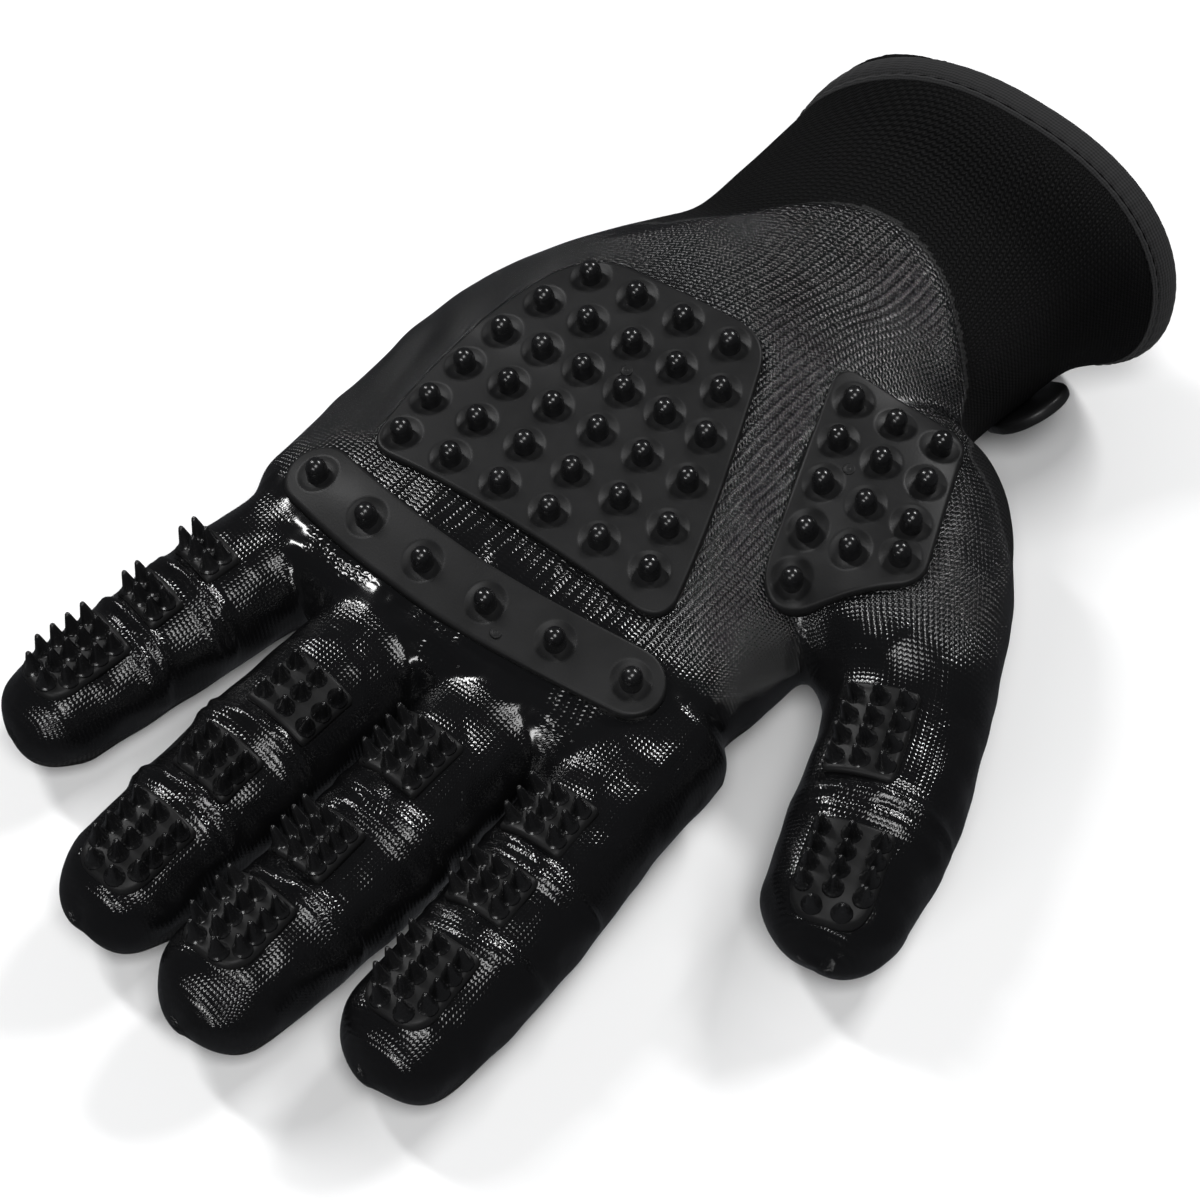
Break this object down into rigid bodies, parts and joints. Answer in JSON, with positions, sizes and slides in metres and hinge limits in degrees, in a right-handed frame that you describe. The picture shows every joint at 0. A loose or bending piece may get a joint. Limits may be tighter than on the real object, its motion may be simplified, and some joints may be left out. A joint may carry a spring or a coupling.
{
  "type": "grooming glove",
  "caption": "Left-hand five-finger pet grooming glove with rubber-nubbed palm, thumb and finger pads, a knit cuff and an adjustable wrist strap.",
  "frame": {"origin": "middle of the flat back of the hand, on the surface the glove lies on", "axes": "+Z out of the palm, +Y from the fingertips to the cuff, +X towards the thumb"},
  "size_m": [0.1617, 0.2271, 0.0559],
  "materials": {
    "coated_knit": "knit liner dipped in black nitrile foam, gloss over the stitches",
    "bare_knit": "uncoated elastic rib knit, matte",
    "cuff_knit": "dense elastic rib knit, matte black",
    "pad_rubber": "moulded rubber, matte field with polished nubs",
    "binding": "folded elastic tape, matte",
    "strap_webbing": "woven elastic tape, matte",
    "tab_rubber": "moulded rubber, satin",
    "hook_tape": "moulded nylon hooks, matte",
    "loop_tape": "brushed nylon loops, matte"
  },
  "bodies": {
    "palm": {"palm_shell": "coated_knit", "palm_pad": "pad_rubber", "thenar_pad": "pad_rubber", "knuckle_strip": "pad_rubber", "wrist_sleeve": "bare_knit", "index_proximal_sleeve": "coated_knit", "middle_proximal_sleeve": "coated_knit", "ring_proximal_sleeve": "coated_knit", "little_proximal_sleeve": "coated_knit", "thumb_proximal_sleeve": "coated_knit"},
    "index_proximal": {"index_proximal_shell": "coated_knit", "index_proximal_pad": "pad_rubber", "index_middle_sleeve": "coated_knit"},
    "index_middle": {"index_middle_shell": "coated_knit", "index_middle_pad": "pad_rubber", "index_distal_sleeve": "coated_knit"},
    "index_distal": {"index_distal_shell": "coated_knit", "index_distal_pad": "pad_rubber"},
    "middle_proximal": {"middle_proximal_shell": "coated_knit", "middle_proximal_pad": "pad_rubber", "middle_middle_sleeve": "coated_knit"},
    "middle_middle": {"middle_middle_shell": "coated_knit", "middle_middle_pad": "pad_rubber", "middle_distal_sleeve": "coated_knit"},
    "middle_distal": {"middle_distal_shell": "coated_knit", "middle_distal_pad": "pad_rubber"},
    "ring_proximal": {"ring_proximal_shell": "coated_knit", "ring_proximal_pad": "pad_rubber", "ring_middle_sleeve": "coated_knit"},
    "ring_middle": {"ring_middle_shell": "coated_knit", "ring_middle_pad": "pad_rubber", "ring_distal_sleeve": "coated_knit"},
    "ring_distal": {"ring_distal_shell": "coated_knit", "ring_distal_pad": "pad_rubber"},
    "little_proximal": {"little_proximal_shell": "coated_knit", "little_proximal_pad": "pad_rubber", "little_middle_sleeve": "coated_knit"},
    "little_middle": {"little_middle_shell": "coated_knit", "little_middle_pad": "pad_rubber", "little_distal_sleeve": "coated_knit"},
    "little_distal": {"little_distal_shell": "coated_knit", "little_distal_pad": "pad_rubber"},
    "thumb_proximal": {"thumb_proximal_shell": "coated_knit", "thumb_proximal_pad": "pad_rubber", "thumb_distal_sleeve": "coated_knit"},
    "thumb_distal": {"thumb_distal_shell": "coated_knit", "thumb_distal_pad": "pad_rubber"},
    "cuff": {"cuff_knit": "cuff_knit", "cuff_binding": "binding", "loop_patch": "loop_tape", "strap_anchor": "strap_webbing"},
    "strap": {"wrist_strap": "strap_webbing", "hook_patch": "hook_tape", "strap_tab": "tab_rubber"}
  },
  "joints": [
    {"name": "index_proximal_flex", "type": "hinge", "parent": "palm", "child": "index_proximal", "pos_m": [0.0308, -0.046, 0.0184], "axis": [-0.9979, 0.0645, 0], "range_deg": [-10, 60], "stiffness_Nm_per_rad": 0.12, "deforming": ["index_proximal_sleeve"]},
    {"name": "index_middle_flex", "type": "hinge", "parent": "index_proximal", "child": "index_middle", "pos_m": [0.03035, -0.06531, 0.0201], "axis": [-0.9979, 0.0645, 0], "range_deg": [-5, 32], "stiffness_Nm_per_rad": 0.07, "deforming": ["index_middle_sleeve"]},
    {"name": "index_distal_flex", "type": "hinge", "parent": "index_middle", "child": "index_distal", "pos_m": [0.02946, -0.08219, 0.0188], "axis": [-0.9979, 0.0645, 0], "range_deg": [-5, 40], "stiffness_Nm_per_rad": 0.05, "deforming": ["index_distal_sleeve"]},
    {"name": "middle_proximal_flex", "type": "hinge", "parent": "palm", "child": "middle_proximal", "pos_m": [0.0047, -0.046, 0.019], "axis": [-0.9893, 0.1461, 0], "range_deg": [-10, 60], "stiffness_Nm_per_rad": 0.12, "deforming": ["middle_proximal_sleeve"]},
    {"name": "middle_middle_flex", "type": "hinge", "parent": "middle_proximal", "child": "middle_middle", "pos_m": [0.00216, -0.07211, 0.0206], "axis": [-0.9893, 0.1461, 0], "range_deg": [-5, 50], "stiffness_Nm_per_rad": 0.07, "deforming": ["middle_middle_sleeve"]},
    {"name": "middle_distal_flex", "type": "hinge", "parent": "middle_middle", "child": "middle_distal", "pos_m": [-0.00096, -0.09257, 0.0191], "axis": [-0.9893, 0.1461, 0], "range_deg": [-5, 35], "stiffness_Nm_per_rad": 0.05, "deforming": ["middle_distal_sleeve"]},
    {"name": "ring_proximal_flex", "type": "hinge", "parent": "palm", "child": "ring_proximal", "pos_m": [-0.0219, -0.046, 0.0186], "axis": [-0.9874, 0.1582, 0], "range_deg": [-10, 60], "stiffness_Nm_per_rad": 0.12, "deforming": ["ring_proximal_sleeve"]},
    {"name": "ring_middle_flex", "type": "hinge", "parent": "ring_proximal", "child": "ring_middle", "pos_m": [-0.02584, -0.07059, 0.0203], "axis": [-0.9874, 0.1582, 0], "range_deg": [-5, 42], "stiffness_Nm_per_rad": 0.07, "deforming": ["ring_middle_sleeve"]},
    {"name": "ring_distal_flex", "type": "hinge", "parent": "ring_middle", "child": "ring_distal", "pos_m": [-0.02859, -0.08777, 0.0186], "axis": [-0.9874, 0.1582, 0], "range_deg": [-5, 40], "stiffness_Nm_per_rad": 0.05, "deforming": ["ring_distal_sleeve"]},
    {"name": "little_proximal_flex", "type": "hinge", "parent": "palm", "child": "little_proximal", "pos_m": [-0.0496, -0.0385, 0.0178], "axis": [-0.9489, 0.3156, 0], "range_deg": [-10, 50], "stiffness_Nm_per_rad": 0.12, "deforming": ["little_proximal_sleeve"]},
    {"name": "little_middle_flex", "type": "hinge", "parent": "little_proximal", "child": "little_middle", "pos_m": [-0.05411, -0.05207, 0.0193], "axis": [-0.9489, 0.3156, 0], "range_deg": [-5, 38], "stiffness_Nm_per_rad": 0.07, "deforming": ["little_middle_sleeve"]},
    {"name": "little_distal_flex", "type": "hinge", "parent": "little_middle", "child": "little_distal", "pos_m": [-0.05815, -0.06421, 0.0176], "axis": [-0.9489, 0.3156, 0], "range_deg": [-5, 35], "stiffness_Nm_per_rad": 0.05, "deforming": ["little_distal_sleeve"]},
    {"name": "thumb_proximal_flex", "type": "hinge", "parent": "palm", "child": "thumb_proximal", "pos_m": [0.06478, 0.00063, 0.0198], "axis": [-0.9664, -0.2571, 0], "range_deg": [-10, 40], "stiffness_Nm_per_rad": 0.15, "deforming": ["thumb_proximal_sleeve"]},
    {"name": "thumb_distal_flex", "type": "hinge", "parent": "thumb_proximal", "child": "thumb_distal", "pos_m": [0.07247, -0.02361, 0.0203], "axis": [-0.9664, -0.2571, 0], "range_deg": [-5, 50], "stiffness_Nm_per_rad": 0.08, "deforming": ["thumb_distal_sleeve"]},
    {"name": "wrist_bend", "type": "hinge", "parent": "palm", "child": "cuff", "pos_m": [0.009, 0.064, 0.0204], "axis": [0.9877, -0.1564, 0], "range_deg": [-25, 25], "stiffness_Nm_per_rad": 0.4, "deforming": ["wrist_sleeve"]},
    {"name": "strap_swing", "type": "hinge", "parent": "cuff", "child": "strap", "pos_m": [-0.01168, 0.08337, 0.00642], "axis": [0.1564, 0.9877, 0], "range_deg": [0, 110]}
  ]
}
